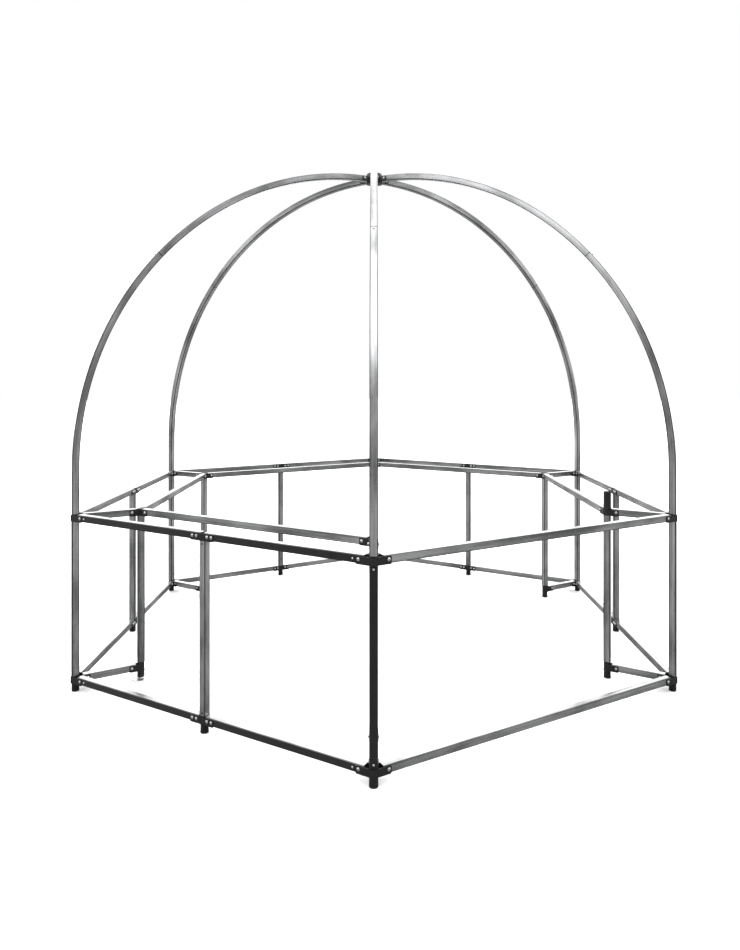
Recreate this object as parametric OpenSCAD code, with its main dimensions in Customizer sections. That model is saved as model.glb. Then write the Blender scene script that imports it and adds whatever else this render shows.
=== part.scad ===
// Six-sided stall frame: a counter ring on posts, with six arches that meet in a dome.
// The stall stands on z = 0 with its middle on the z axis. Corner 0 points along -y,
// the corners count anticlockwise, and side k runs from corner k to corner k + 1.
// Side 0 is the entrance: it has no mid post and no inner rail, and its top rail lifts.

/* [Plan] */
// Middle of the stall to the axis of each outer corner post
ring_r = 2000; // [1500:10:2600]
// Outer corner post to the inner post behind it
row_gap = 370; // [300:5:600]

/* [Heights] */
// Ground to the middle of the base rails
base_z = 70; // [66:1:110]
// Ground to the middle of the counter rails
counter_z = 1005; // [800:5:1250]
// Middle of the counter rails to where each arch starts to curve
arch_straight = 280; // [180:5:600]

/* [Tube] */
// Outside width of the square aluminium tube
tube_w = 40; // [34:1:50]
// Wall of the square tube
tube_wall = 2; // [1.5:0.1:2.5]
// Outside corner radius of the square tube
tube_corner = 5; // [3:0.5:7]

/* [Brackets] */
// Thickness of the folded bracket plates
plate_t = 3; // [2:0.5:5]
// Height of the bracket plates, from the underside of the shelf
plate_h = 38; // [30:1:40]
// How much wider the round bracket core is than the tube
core_extra = 2; // [1:0.5:4]
// Length of the round spigots that the posts and arches slide over
spigot_len = 80; // [50:5:140]
// Play between a rail and the bracket plates beside it
side_play = 0.5; // [0.3:0.1:0.9]
// Play between a spigot and the tube around it
spigot_play = 0.25; // [0.1:0.05:0.4]
// Height of the black foot sleeves under the inner posts
inner_foot_h = 100; // [95:1:160]
// Thickness of the plastic cap under each foot
cap_t = 6; // [4:1:10]

/* [Bolts] */
// Diameter of the cross bolts through the rail ends
bolt_d = 8; // [6:0.5:10]
// Rail end to the cross bolt
bolt_edge = 25; // [20:1:30]
// Cross bolt to the rounded end of the plate
bolt_tip = 14; // [12:1:20]
// Spacing of the two bolts on each side of a mid bracket
mid_pitch = 28; // [24:1:40]
// Diameter of the screws that hold the posts
screw_d = 6; // [4:0.5:7]
// Screw to the end of the post
screw_edge = 15; // [12:1:25]

/* [Hub] */
// Middle of the hub to the end of each arch
hub_r = 55; // [50:1:75]
// Hub body above the middle of the arches
hub_up = 32; // [27:1:45]
// Hub body below the middle of the arches
hub_down = 30; // [27:1:45]
// Thickness of the round cap plate
hub_cap_t = 10; // [6:1:16]

/* [Arch joint] */
// Angle of the seam between the arch halves, above the level centre of the curve
seam_deg = 41.3; // [30:0.1:50]
// Seam to the snap button
button_off = 18; // [15:1:40]
// Diameter of the snap button
button_d = 9; // [7:0.5:12]
// How far the snap button stands out of the tube
button_out = 4; // [3:0.5:5]
// Travel of the snap button
button_travel = 6; // [5:0.5:7]
// Half length of the spigot inside the arch seam
seam_spigot = 90; // [60:5:150]

/* [Entrance] */
// Play of the pivot bolt in the lifting rail, on the radius
pivot_play = 0.06; // [0.02:0.01:0.1]
// Play of the drop pin in its open slots, on each side
slot_play = 0.3; // [0.2:0.05:0.6]

/* [Fittings] */
// Width of the hook-and-loop strips
strip_w = 34; // [20:1:40]
// Thickness of the hook-and-loop strips
strip_t = 1.2; // [0.8:0.1:2]
// Outside diameter of the base plate
base_plate_d = 126; // [100:2:200]
// Thickness of the base plate
base_plate_t = 4; // [3:0.5:8]
// Height of the pole socket beside the entrance
socket_h = 100; // [60:5:200]
// Bore of the pole socket
socket_bore = 41; // [30:0.5:42]
// Wall of the pole socket
socket_wall = 2; // [2:0.5:4]

/* [Hidden] */
$fn = 48;
arc_fn = 360;

half = tube_w / 2;
inner_r = ring_r - row_gap;
core_r = half + core_extra / 2;
bore_r = half - tube_wall - spigot_play - 3;
spigot_r = half - tube_wall - spigot_play;
spigot_w = 2 * spigot_r;
in_face = half + side_play;
out_face = in_face + plate_t;
// Three tubes meet 60 degrees apart at an outer corner, with a folded plate between them
corner_gap = out_face / tan(30) + 0.3;
corner_bolt = corner_gap + bolt_edge;
inner_gap = core_r + 11;
inner_bolt = inner_gap + bolt_edge;
mid_gap = core_r + 3;
mid_bolt = mid_gap + 12;
mid_bolt_2 = mid_bolt + mid_pitch;
mid_top_gap = 12;
shelf_z = -half - plate_t;
plate_low = shelf_z + 1;
plate_top = shelf_z + plate_h;
rivet_s = corner_bolt + bolt_tip + 18;
strip_start = corner_bolt + bolt_tip + 2;
strip_end = mid_bolt_2 + bolt_tip + 2;
bolt_r = bolt_d / 2;
screw_r = screw_d / 2;
arch_r = ring_r - hub_r;
arch_z = counter_z + arch_straight;
apex_z = arch_z + arch_r;
button_deg = seam_deg - button_off / arch_r * 180 / PI;
button_r = button_d / 2;
button_play = 0.05;
seam_wall = 2.2;
corners = [0:5];
mid_sides = [1:5];
metal = [0.62, 0.63, 0.64];
black = [0.10, 0.10, 0.11];
zinc = [0.80, 0.80, 0.79];

// Places. At a corner, +x points away from the middle of the stall.
module at_corner(k, r = ring_r) {
    rotate([0, 0, 60 * k - 90]) translate([r, 0, 0]) children();
}
// At the middle of a side, +y runs along the side and +x points outwards.
module at_side(k, r = ring_r) {
    rotate([0, 0, 60 * k - 60]) translate([r * cos(30), 0, 0]) children();
}
// A place on the outside of an arch in its corner's plane, with +z pointing off the tube
module on_arch(k, deg) {
    rotate([0, 0, 60 * k - 90]) translate([hub_r + arch_r * cos(deg), 0, arch_z + arch_r * sin(deg)])
        rotate([0, 90 - deg, 0]) children();
}

// Profiles and plain shapes
module soft_square(w, r) {
    square([w - 2 * r, w], center = true);
    square([w, w - 2 * r], center = true);
    for (x = [-1, 1], y = [-1, 1]) translate([x * (w / 2 - r), y * (w / 2 - r)]) circle(r);
}
module tube_profile() {
    difference() {
        soft_square(tube_w, tube_corner);
        soft_square(tube_w - 2 * tube_wall, tube_corner - tube_wall);
    }
}
// A straight tube along +x from a to b
module tube_x(a, b) {
    translate([a, 0, 0]) rotate([90, 0, 90]) linear_extrude(b - a) tube_profile();
}
module tube_z(a, b) {
    translate([0, 0, a]) linear_extrude(b - a) tube_profile();
}
// A bar of any profile bent along the arch, from angle a to angle b
module arch_bar(a, b) {
    translate([hub_r, 0, arch_z]) rotate([90, 0, 0]) rotate([0, 0, a])
        rotate_extrude(angle = b - a, $fn = arc_fn) translate([arch_r, 0]) children();
}
// A hole across a rail that lies along +x
module cross_hole(x, r) {
    translate([x, 0, 0]) rotate([90, 0, 0]) cylinder(h = 4 * tube_w, r = r, center = true);
}
// Plates beside the rails. Each arm of a bracket has one on either side of its rail.
module plates() {
    translate([0, 0, plate_low]) linear_extrude(plate_top - plate_low) children();
}
// Plan of straight plates that run out from the middle along each arm
module straight_plan(arms, reach) {
    for (m = arms, y = [in_face, -out_face]) rotate(m) translate([0, y]) square([reach, plate_t]);
}
// Plan of one plate that folds from the arm at angle first to the next one, turn degrees on
module fold_plan(first, turn, reach) {
    near = in_face / sin(turn / 2);
    far = out_face / sin(turn / 2);
    mid = first + turn / 2;
    function on(deg, off) =
        [reach * cos(deg) + off * sin(deg), reach * sin(deg) - off * cos(deg)];
    polygon([[near * cos(mid), near * sin(mid)], on(first, -in_face), on(first, -out_face),
        [far * cos(mid), far * sin(mid)], on(first + turn, out_face), on(first + turn, in_face)]);
}
// What is cut off to round the corners of the plates at the end of each arm
module round_ends(arms, reach) {
    r = 8;
    inset = r - 0.4;
    low = plate_low + inset;
    high = plate_top - inset;
    for (m = arms) rotate([0, 0, m]) difference() {
        for (z = [low - r - 1, high]) translate([reach - inset, -tube_w, z])
            cube([2 * r, 2 * tube_w, r + 1]);
        for (z = [low, high]) translate([reach - inset, 0, z]) rotate([90, 0, 0])
            cylinder(h = 3 * tube_w, r = r, center = true);
    }
}
// The shelf under the rails: a strip for each arm, and a disc where they meet
module shelf(arms, reach) {
    translate([0, 0, shelf_z]) linear_extrude(plate_t) {
        circle(core_r - 1);
        for (m = arms) rotate(m) translate([0, -in_face - plate_t / 2])
            square([reach - 9, 2 * in_face + plate_t]);
    }
}
module arm_holes(arms, bolt) {
    for (m = arms) rotate([0, 0, m]) translate([bolt, 0, 0]) rotate([90, 0, 0])
        cylinder(h = 4 * tube_w, r = bolt_r + 0.1, center = true);
}

// Outer corner brackets. Folded plates join each arm to the next, one of them round the post.
corner_reach = corner_bolt + bolt_tip;
corner_dirs = [120, 180, -120];
// lift: the arm of the lifting rail has no shelf; slot: its plates are open at the top
module corner_arms(lift = false, slot = false) {
    difference() {
        union() {
            plates() {
                fold_plan(-120, 240, corner_reach);
                for (m = [120, 180]) fold_plan(m, 60, corner_reach);
            }
            shelf(lift ? [180, -120] : corner_dirs, corner_reach);
        }
        round_ends(corner_dirs, corner_reach);
        arm_holes(corner_dirs, corner_bolt);
        if (slot) rotate([0, 0, -120])
            translate([corner_bolt - bolt_r - slot_play, -2 * tube_w, 0])
                cube([bolt_d + 2 * slot_play, 4 * tube_w, plate_h]);
        if (lift) rotate([0, 0, 120])
            translate([corner_gap - bolt_edge / 2, -half - side_play / 2, shelf_z - 1])
                cube([corner_reach, tube_w + side_play, plate_h + 2]);
    }
}
module corner_core(bottom, top) {
    translate([0, 0, bottom]) cylinder(h = top - bottom, r = core_r);
}
module spigot_holes(z) {
    translate([0, 0, z]) rotate([0, 90, 0]) cylinder(h = 2 * tube_w, r = screw_r + 0.1);
}
module corner_bracket(k) {
    color(black) at_corner(k) translate([0, 0, counter_z]) difference() {
        union() {
            corner_arms(k == 0, k == 1);
            corner_core(plate_low, half);
            translate([0, 0, shelf_z - spigot_len])
                cylinder(h = half - shelf_z + 2 * spigot_len, r = spigot_r);
        }
        cylinder(h = 4 * spigot_len + 4 * tube_w, r = bore_r, center = true);
        spigot_holes(shelf_z - screw_edge);
    }
}
module corner_foot(k) {
    color(black) at_corner(k) difference() {
        union() {
            translate([0, 0, base_z]) corner_arms();
            corner_core(cap_t, base_z + half);
            translate([0, 0, base_z]) cylinder(h = half + spigot_len, r = spigot_r);
        }
        cylinder(h = 2 * (base_z + spigot_len + tube_w), r = bore_r, center = true);
        spigot_holes(base_z + half + screw_edge);
    }
}

// Mid brackets, one in the middle of each closed side
mid_reach = mid_bolt_2 + bolt_tip;
mid_dirs = [90, 270];
module mid_arms() {
    difference() {
        union() {
            plates() straight_plan(mid_dirs, mid_reach);
            shelf(mid_dirs, mid_reach);
        }
        round_ends(mid_dirs, mid_reach);
        for (s = [mid_bolt, mid_bolt_2]) arm_holes(mid_dirs, s);
    }
}
module mid_bracket(k) {
    color(black) at_side(k) translate([0, 0, counter_z]) difference() {
        union() {
            mid_arms();
            translate([0, 0, shelf_z - spigot_len]) cylinder(h = spigot_len + 1, r = spigot_r);
        }
        translate([0, 0, shelf_z - spigot_len - 1]) cylinder(h = spigot_len, r = bore_r);
        spigot_holes(shelf_z - screw_edge);
    }
}
module mid_foot(k) {
    color(black) at_side(k) difference() {
        union() {
            translate([0, 0, base_z]) mid_arms();
            corner_core(cap_t, base_z + half);
            translate([0, 0, base_z]) cylinder(h = half + spigot_len, r = spigot_r);
        }
        cylinder(h = 2 * (base_z + spigot_len + tube_w), r = bore_r, center = true);
        spigot_holes(base_z + half + screw_edge);
    }
}

// Inner brackets carry a radial rail and one or two inner rails
inner_reach = inner_bolt + bolt_tip;
function inner_arms(k) = k == 0 ? [0, -120] : k == 1 ? [0, 120] : [0, 120, -120];
module inner_bracket(k) {
    color(black) at_corner(k, inner_r) translate([0, 0, counter_z]) difference() {
        union() {
            plates() straight_plan(inner_arms(k), inner_reach);
            shelf(inner_arms(k), inner_reach);
            corner_core(plate_low, half);
            translate([0, 0, shelf_z - spigot_len]) cylinder(h = spigot_len + 1, r = spigot_r);
            if (k == 1) cylinder(h = half + socket_h / 5, r = spigot_r - 1);
        }
        round_ends(inner_arms(k), inner_reach);
        arm_holes(inner_arms(k), inner_bolt);
        translate([0, 0, shelf_z - spigot_len - 1]) cylinder(h = spigot_len, r = bore_r);
        spigot_holes(shelf_z - screw_edge);
    }
}
module inner_foot(k) {
    bottom = k == 5 ? base_plate_t : cap_t;
    color(black) at_corner(k, inner_r) difference() {
        union() {
            translate([0, 0, base_z]) {
                plates() straight_plan([0], inner_reach);
                shelf([0], inner_reach);
            }
            corner_core(bottom, inner_foot_h);
            translate([0, 0, base_z]) cylinder(h = inner_foot_h - base_z + spigot_len, r = spigot_r);
        }
        translate([0, 0, base_z]) {
            round_ends([0], inner_reach);
            arm_holes([0], inner_bolt);
        }
        cylinder(h = 2 * (inner_foot_h + spigot_len + tube_w), r = bore_r, center = true);
        spigot_holes(inner_foot_h + screw_edge);
    }
}
module foot_cap() {
    color(black) {
        rotate_extrude() {
            square([core_r - 1.5, cap_t]);
            translate([0, 1.5]) square([core_r + 0.4, cap_t - 1.5]);
            translate([core_r - 1.1, 1.5]) circle(1.5);
            square([bore_r - spigot_play, cap_t + 18]);
        }
    }
}
module foot_caps() {
    for (k = corners) at_corner(k) foot_cap();
    for (k = mid_sides) at_side(k) foot_cap();
    for (k = [0:4]) at_corner(k, inner_r) foot_cap();
}
module base_plate() {
    color(zinc) at_corner(5, inner_r) rotate_extrude($fn = 96) {
        square([base_plate_d / 2 - 1, base_plate_t]);
        translate([0, 1]) square([base_plate_d / 2, base_plate_t - 1]);
        square([bore_r - spigot_play, base_plate_t + 20]);
    }
}
module pole_socket() {
    foot_h = socket_h / 5;
    color(black) at_corner(1, inner_r) translate([0, 0, counter_z + half]) difference() {
        cylinder(h = socket_h, r = socket_bore / 2 + socket_wall);
        translate([0, 0, -1]) cylinder(h = socket_h, r = spigot_r - 1 + spigot_play);
        translate([0, 0, foot_h]) cylinder(h = socket_h, r = socket_bore / 2);
    }
}

// Posts
module screwed_post(a, b, screws) {
    color(metal) difference() {
        tube_z(a, b);
        for (z = screws) translate([0, 0, z]) rotate([0, 90, 0]) cylinder(h = tube_w, r = screw_r + 0.1);
    }
}
outer_post_low = base_z + half;
inner_post_low = inner_foot_h;
post_high = counter_z + shelf_z;
outer_screws = [outer_post_low + screw_edge, post_high - screw_edge];
inner_screws = [inner_post_low + screw_edge, post_high - screw_edge];
module outer_post() {
    screwed_post(outer_post_low, post_high, outer_screws);
}
module corner_post(k) {
    at_corner(k) outer_post();
}
module mid_posts() {
    for (k = mid_sides) at_side(k) outer_post();
}
module inner_posts() {
    for (k = corners) at_corner(k, inner_r) screwed_post(inner_post_low, post_high, inner_screws);
}

// Rails. A half rail runs from a corner to the mid bracket, along +x from the corner post.
module half_rail(end_gap, outward) {
    length = ring_r / 2 - end_gap;
    color(metal) difference() {
        tube_x(corner_gap, length);
        cross_hole(corner_bolt, bolt_r + 0.1);
        for (s = [mid_bolt, mid_bolt_2]) cross_hole(ring_r / 2 - s, bolt_r + 0.1);
        translate([rivet_s, 0, 0]) rotate([-outward * 90, 0, 0]) cylinder(h = tube_w, r = 2.5);
    }
}
// Both directions along side k, from each of its corners; the argument is which way is outwards
module half_rails(k, end_gap, z) {
    at_corner(k) translate([0, 0, z]) rotate([0, 0, 120]) half_rail(end_gap, -1);
    at_corner(k + 1) translate([0, 0, z]) rotate([0, 0, -120]) half_rail(end_gap, 1);
}
module counter_rail(k) {
    half_rails(k, mid_top_gap, counter_z);
}
module base_rails() {
    for (k = mid_sides) half_rails(k, mid_gap, base_z);
}
module plain_rail(length, gap_a, gap_b, bolt_a, bolt_b, hole_r = bolt_r + 0.1) {
    color(metal) difference() {
        tube_x(gap_a, length - gap_b);
        cross_hole(bolt_a, hole_r);
        cross_hole(length - bolt_b, hole_r);
    }
}
module entrance_base_rail() {
    at_corner(0) translate([0, 0, base_z]) rotate([0, 0, 120])
        plain_rail(ring_r, corner_gap, corner_gap, corner_bolt, corner_bolt);
}
module entrance_rail() {
    at_corner(0) translate([0, 0, counter_z]) rotate([0, 0, 120])
        plain_rail(ring_r, corner_gap, corner_gap, corner_bolt, corner_bolt, bolt_r + pivot_play);
}
module entrance_pin() {
    at_corner(0) translate([0, 0, counter_z]) rotate([0, 0, 120]) translate([ring_r - corner_bolt, 0, 0])
        cross_pin();
}
module inner_rails() {
    for (k = mid_sides) at_corner(k, inner_r) translate([0, 0, counter_z]) rotate([0, 0, 120])
        plain_rail(inner_r, inner_gap, inner_gap, inner_bolt, inner_bolt);
}
module radial_rail(z) {
    translate([0, 0, z]) rotate([0, 0, 180])
        plain_rail(row_gap, corner_gap, inner_gap, corner_bolt, inner_bolt);
}
module counter_radials() {
    for (k = corners) at_corner(k) radial_rail(counter_z);
}
module base_radials() {
    for (k = corners) at_corner(k) radial_rail(base_z);
}

// Arches
seam_step = seam_spigot / arch_r * 180 / PI;
hub_bolt_x = hub_r + 35;
hub_bolt_deg = acos((hub_bolt_x - hub_r) / arch_r);
module button_hole(k) {
    on_arch(k, button_deg) cylinder(h = tube_w, r = button_r + button_play);
}
module hub_cross_hole() {
    translate([hub_bolt_x, 0, apex_z]) rotate([90, 0, 0])
        cylinder(h = 4 * tube_w, r = bolt_r + 0.1, center = true);
}
module arch_lower(k) {
    color(metal) difference() {
        rotate([0, 0, 60 * k - 90]) union() {
            translate([ring_r, 0, 0]) tube_z(counter_z + half, arch_z);
            arch_bar(0, seam_deg) tube_profile();
        }
        button_hole(k);
    }
}
module arch_upper(k) {
    color(metal) rotate([0, 0, 60 * k - 90]) difference() {
        arch_bar(seam_deg, 90) tube_profile();
        hub_cross_hole();
    }
}
module seam_profile() {
    corner = tube_corner - tube_wall;
    difference() {
        soft_square(spigot_w, corner);
        soft_square(spigot_w - 2 * seam_wall, max(corner - seam_wall, 0.5));
    }
}
module arch_spigots() {
    for (k = corners) color(zinc) difference() {
        rotate([0, 0, 60 * k - 90]) arch_bar(seam_deg - seam_step, seam_deg + seam_step)
            seam_profile();
        button_hole(k);
    }
}
module snap_button(k) {
    flange_z = spigot_r - seam_wall - button_play;
    color(zinc) on_arch(k, button_deg) rotate_extrude() {
        square([button_r, half + button_out - 1]);
        square([button_r - 1, half + button_out]);
        translate([button_r - 1, half + button_out - 1]) circle(1);
        translate([0, flange_z - 1.5]) square([button_r + 2.5, 1.5]);
    }
}
module hollow_button(k) {
    difference() {
        snap_button(k);
        on_arch(k, button_deg) translate([0, 0, -1]) cylinder(h = spigot_r - seam_wall - 4, r = tube_w);
    }
}
// A leaf clip on the far wall of the seam spigot, with its arm under the button
module button_springs() {
    reach = 41;
    foot = 20;
    wall = spigot_r - seam_wall - 0.1;
    arm = wall - 6 - button_travel;
    for (k = corners) color(zinc) on_arch(k, button_deg + (reach - 7) / arch_r * 180 / PI)
        rotate([90, 0, 0]) linear_extrude(10, center = true)
            polygon([[reach, arm], [-foot - 1, arm], [-foot - 1, -wall], [foot, -wall],
                [foot, 1 - wall], [-foot, 1 - wall], [-foot, arm - 1], [reach, arm - 1]]);
}

// Hub
module hub_body() {
    color(black) difference() {
        union() {
            translate([0, 0, apex_z - hub_down])
                linear_extrude(hub_up + hub_down) circle(r = hub_r / cos(30), $fn = 6);
            for (k = corners) rotate([0, 0, 60 * k - 90]) hub_socket();
        }
        translate([0, 0, apex_z - 2 * tube_w]) cylinder(h = 4 * tube_w, r = 12);
        for (k = corners) rotate([0, 0, 60 * k - 90]) hub_cross_hole();
    }
}
hub_reach = hub_bolt_x + 20;
module hub_socket() {
    root = 8;
    arch_bar(acos((hub_bolt_x + 30 - hub_r) / arch_r), acos(-root / arch_r)) seam_profile();
    for (y = [in_face, -out_face]) translate([hub_r - root, y, apex_z - 15])
        cube([hub_reach - hub_r + root, plate_t, 30]);
}
module hub_cap() {
    color(black) translate([0, 0, apex_z + hub_up]) difference() {
        rotate_extrude($fn = 96) {
            square([hub_r - 2, hub_cap_t]);
            square([hub_r, hub_cap_t - 2]);
            translate([hub_r - 2, hub_cap_t - 2]) circle(2);
        }
        translate([0, 0, -1]) cylinder(h = 2 * hub_cap_t, r = 6.2);
    }
}
module hub_bolt() {
    washer = apex_z - hub_down;
    color(zinc) {
        translate([0, 0, apex_z + hub_up + hub_cap_t]) cylinder(h = 5, r = 10.5, $fn = 6);
        translate([0, 0, washer - 12]) cylinder(h = hub_up + hub_down + hub_cap_t + 13, r = 6);
        translate([0, 0, washer - 3]) cylinder(h = 3, r = 22);
        translate([0, 0, washer - 11]) cylinder(h = 8, r = 10.5, $fn = 6);
    }
}

// Fasteners. Cross bolts lie along y, their heads on the side that -y points to.
grip = out_face;
head_t = 4;
nut_t = 6;
module cross_bolt() {
    color(zinc) rotate([90, 0, 0]) {
        translate([0, 0, grip]) cylinder(h = head_t, r1 = bolt_r + 3.5, r2 = bolt_r + 1.5);
        translate([0, 0, -grip - nut_t - 2]) cylinder(h = 2 * grip + nut_t + 3, r = bolt_r);
    }
}
module cross_nut() {
    color(zinc) rotate([90, 0, 0]) difference() {
        translate([0, 0, -grip - nut_t]) cylinder(h = nut_t, r = bolt_r + 3.5, $fn = 6);
        translate([0, 0, -grip - nut_t - 1]) cylinder(h = nut_t + 2, r = bolt_r + 0.05);
    }
}
// The drop pin of the lifting rail: a bolt with clearance outside the plates
module cross_pin() {
    play = 0.5;
    color(zinc) rotate([90, 0, 0]) {
        translate([0, 0, -grip - play]) cylinder(h = 2 * (grip + play), r = bolt_r);
        for (m = [0, 1]) mirror([0, 0, m]) translate([0, 0, grip + play])
            cylinder(h = head_t, r1 = bolt_r + 3.5, r2 = bolt_r + 1.5);
    }
}
// Every cross bolt's place. A child drawn along +y has its head outwards or clockwise.
module bolt_places() {
    for (z = [base_z, counter_z]) {
        for (k = corners) at_corner(k) translate([0, 0, z]) {
            rotate([0, 0, 120]) translate([corner_bolt, 0, 0]) children();
            if (!(k == 1 && z == counter_z))
                rotate([0, 0, -120]) translate([corner_bolt, 0, 0]) rotate([0, 0, 180]) children();
            rotate([0, 0, 180]) translate([corner_bolt, 0, 0]) children();
            rotate([0, 0, 180]) translate([row_gap - inner_bolt, 0, 0]) children();
        }
        for (k = mid_sides, m = [-1, 1], s = [mid_bolt, mid_bolt_2]) at_side(k)
            translate([0, m * s, z]) rotate([0, 0, 90]) children();
    }
    for (k = mid_sides, s = [inner_bolt, inner_r - inner_bolt]) at_corner(k, inner_r)
        translate([0, 0, counter_z]) rotate([0, 0, 120]) translate([s, 0, 0]) children();
    for (k = corners) rotate([0, 0, 60 * k - 90]) translate([hub_bolt_x, 0, apex_z]) children();
}
module rail_bolts() {
    bolt_places() cross_bolt();
}
module rail_nuts() {
    bolt_places() cross_nut();
}
// Stiffening inserts in the corner ends of the two-piece rails, each with one rivet
module along_half_rails() {
    for (k = mid_sides, z = [base_z, counter_z]) {
        at_corner(k) translate([0, 0, z]) rotate([0, 0, 120]) children();
        at_corner(k + 1) translate([0, 0, z]) rotate([0, 0, -120]) mirror([0, 1, 0]) children();
    }
}
module rail_inserts() {
    color(metal) along_half_rails() difference() {
        translate([corner_gap, 0, 0]) rotate([90, 0, 90]) linear_extrude(rivet_s + 12 - corner_gap)
            seam_profile();
        cross_hole(corner_bolt, bolt_r + 0.1);
        translate([rivet_s, 0, 0]) rotate([90, 0, 0]) cylinder(h = tube_w, r = 2.5);
    }
}
module insert_rivets() {
    color(zinc) along_half_rails() translate([rivet_s, 0, 0]) rotate([90, 0, 0]) {
        translate([0, 0, half + strip_t]) cylinder(h = 2.5, r1 = 5, r2 = 3.5);
        translate([0, 0, spigot_r - seam_wall - 2]) cylinder(h = half - spigot_r + seam_wall + strip_t + 3, r = 2.4);
    }
}
module post_screw(z, stand) {
    color(zinc) translate([0, 0, z]) rotate([0, 90, 0]) {
        translate([0, 0, half + stand]) cylinder(h = 3, r1 = screw_r + 2.5, r2 = screw_r + 1);
        translate([0, 0, bore_r - 1]) cylinder(h = half - bore_r + stand + 2, r = screw_r);
    }
}
module post_screws() {
    for (z = outer_screws) {
        for (k = corners) at_corner(k) post_screw(z, strip_t);
        for (k = mid_sides) at_side(k) post_screw(z, 0);
    }
    for (z = inner_screws, k = corners) at_corner(k, inner_r) post_screw(z, 0);
}

// Hook-and-loop strips for the fabric, on the outward faces
module post_strips() {
    for (k = corners) color(black) at_corner(k) difference() {
        translate([half, -strip_w / 2, outer_post_low]) cube([strip_t, strip_w, post_high - outer_post_low]);
        for (z = outer_screws) translate([0, 0, z]) rotate([0, 90, 0]) cylinder(h = tube_w, r = screw_r + 0.1);
    }
}
module rail_strips() {
    color(black) along_half_rails() difference() {
        translate([strip_start, -half - strip_t, -strip_w / 2])
            cube([ring_r / 2 - strip_end - strip_start, strip_t, strip_w]);
        translate([rivet_s, 0, 0]) rotate([90, 0, 0]) cylinder(h = tube_w, r = 2.5);
    }
}

corner_post(0);  // corner_post_0
corner_post(1);  // corner_post_1
corner_post(2);  // corner_post_2
corner_post(3);  // corner_post_3
corner_post(4);  // corner_post_4
corner_post(5);  // corner_post_5
mid_posts();
inner_posts();
counter_rail(1);  // counter_rail_1
counter_rail(2);  // counter_rail_2
counter_rail(3);  // counter_rail_3
counter_rail(4);  // counter_rail_4
counter_rail(5);  // counter_rail_5
entrance_rail();
entrance_pin();
entrance_base_rail();
base_rails();
inner_rails();
counter_radials();
base_radials();
arch_lower(0);  // arch_lower_0
arch_lower(1);  // arch_lower_1
arch_lower(2);  // arch_lower_2
arch_lower(3);  // arch_lower_3
arch_lower(4);  // arch_lower_4
arch_lower(5);  // arch_lower_5
arch_upper(0);  // arch_upper_0
arch_upper(1);  // arch_upper_1
arch_upper(2);  // arch_upper_2
arch_upper(3);  // arch_upper_3
arch_upper(4);  // arch_upper_4
arch_upper(5);  // arch_upper_5
arch_spigots();
hollow_button(0);  // snap_button_0
hollow_button(1);  // snap_button_1
hollow_button(2);  // snap_button_2
hollow_button(3);  // snap_button_3
hollow_button(4);  // snap_button_4
hollow_button(5);  // snap_button_5
button_springs();
for (k = corners) corner_bracket(k);  // corner_brackets
for (k = corners) corner_foot(k);  // corner_feet
for (k = mid_sides) mid_bracket(k);  // mid_brackets
for (k = mid_sides) mid_foot(k);  // mid_feet
for (k = corners) inner_bracket(k);  // inner_brackets
for (k = corners) inner_foot(k);  // inner_feet
foot_caps();
base_plate();
pole_socket();
hub_body();
hub_cap();
hub_bolt();
rail_bolts();
rail_nuts();
rail_inserts();
insert_rivets();
post_screws();
post_strips();
rail_strips();
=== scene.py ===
from math import atan2, cos, degrees, hypot, pi, radians, sin

import bmesh
import bpy
from mathutils import Matrix, Vector


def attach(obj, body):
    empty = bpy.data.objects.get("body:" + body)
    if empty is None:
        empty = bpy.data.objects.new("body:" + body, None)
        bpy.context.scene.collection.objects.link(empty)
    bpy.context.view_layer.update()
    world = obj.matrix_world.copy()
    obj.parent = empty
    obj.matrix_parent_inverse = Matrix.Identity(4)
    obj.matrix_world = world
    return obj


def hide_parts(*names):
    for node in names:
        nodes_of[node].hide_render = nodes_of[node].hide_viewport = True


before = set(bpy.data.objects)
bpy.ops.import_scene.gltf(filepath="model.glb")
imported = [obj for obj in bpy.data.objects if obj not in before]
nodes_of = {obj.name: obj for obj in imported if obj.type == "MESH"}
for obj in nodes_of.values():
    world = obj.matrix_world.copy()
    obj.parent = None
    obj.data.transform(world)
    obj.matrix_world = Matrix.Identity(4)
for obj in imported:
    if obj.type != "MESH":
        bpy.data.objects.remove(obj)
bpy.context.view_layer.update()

scene = bpy.context.scene

# Camera. It stands in front of the front corner at eye height and looks level. The lens is
# shifted, so that the stall sits a little low in the view and its posts stay upright.
camera = bpy.data.objects.new("camera", bpy.data.cameras.new("camera"))
scene.collection.objects.link(camera)
camera.data.sensor_width = 36.0
camera.data.lens = 27.71
camera.data.shift_x = -0.0055
camera.data.shift_y = -0.1017
camera.data.clip_end = 200.0
camera.location = (0.007, -5.242, 1.81)
camera.rotation_euler = (radians(90), 0.0, 0.0)
scene.camera = camera
scene.view_settings.view_transform = "Standard"

# Studio. A white sweep to the camera that the metal reflects as dull ground, and a bright
# sky that reaches lower beyond the stall than behind the camera, with a broad lamp to the
# left of the camera.
floor_shape = bmesh.new()
bmesh.ops.create_circle(floor_shape, cap_ends=True, segments=96, radius=60.0)
floor_mesh = bpy.data.meshes.new("floor")
floor_shape.to_mesh(floor_mesh)
floor_shape.free()
floor = bpy.data.objects.new("floor", floor_mesh)
scene.collection.objects.link(floor)
floor_paint = bpy.data.materials.new("floor_paint")
floor_paint.use_nodes = True
paint = floor_paint.node_tree.nodes["Principled BSDF"]
floor_ray = floor_paint.node_tree.nodes.new("ShaderNodeLightPath")
floor_tone = floor_paint.node_tree.nodes.new("ShaderNodeMix")
floor_tone.data_type = "RGBA"
floor_tone.inputs["A"].default_value = (0.17, 0.17, 0.17, 1.0)
floor_tone.inputs["B"].default_value = (0.93, 0.93, 0.93, 1.0)
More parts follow.
